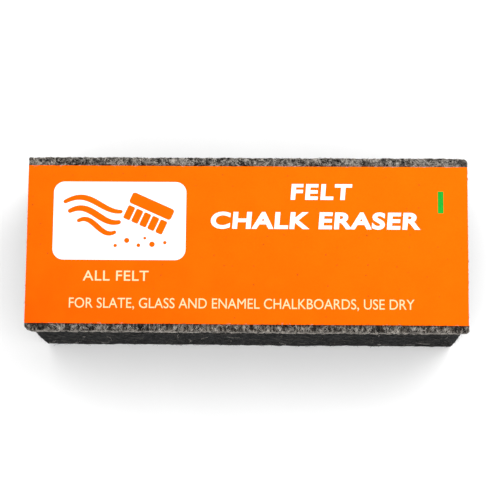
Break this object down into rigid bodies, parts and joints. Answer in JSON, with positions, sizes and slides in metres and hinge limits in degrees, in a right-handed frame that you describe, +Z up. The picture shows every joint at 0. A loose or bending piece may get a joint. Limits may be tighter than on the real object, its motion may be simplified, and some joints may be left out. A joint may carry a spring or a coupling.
{
  "type": "chalkboard eraser",
  "caption": "Rectangular felt chalkboard eraser: folded charcoal felt strips sewn under a grey felt back, topped with a glued orange card label",
  "frame": {"origin": "centre of the wiping face, at the middle of the eraser's length and width", "axes": "+Z up from the wiping face to the label, +X along the length towards the right of a reader of the label, +Y across the width towards the top of the label"},
  "size_m": [0.127, 0.0508, 0.0318],
  "materials": {
    "label_card": "orange printed card, matt, with a white panel and white and green marks",
    "glue": "dried clear glue film",
    "grey_felt": "pressed wool felt of mixed light and dark grey fibres",
    "charcoal_felt": "dense charcoal wool felt, fuzzy on its cut faces",
    "thread": "dull twisted sewing thread"
  },
  "bodies": {
    "root": {"label_card": "label_card", "label_glue_film": "glue", "felt_back": "grey_felt", "folded_strip_1": "charcoal_felt", "folded_strip_2": "charcoal_felt", "folded_strip_3": "charcoal_felt", "folded_strip_4": "charcoal_felt", "folded_strip_5": "charcoal_felt", "needle_thread_1": "thread", "needle_thread_2": "thread", "needle_thread_3": "thread", "needle_thread_4": "thread", "needle_thread_5": "thread", "bobbin_thread_1": "thread", "bobbin_thread_2": "thread", "bobbin_thread_3": "thread", "bobbin_thread_4": "thread", "bobbin_thread_5": "thread"}
  },
  "joints": []
}
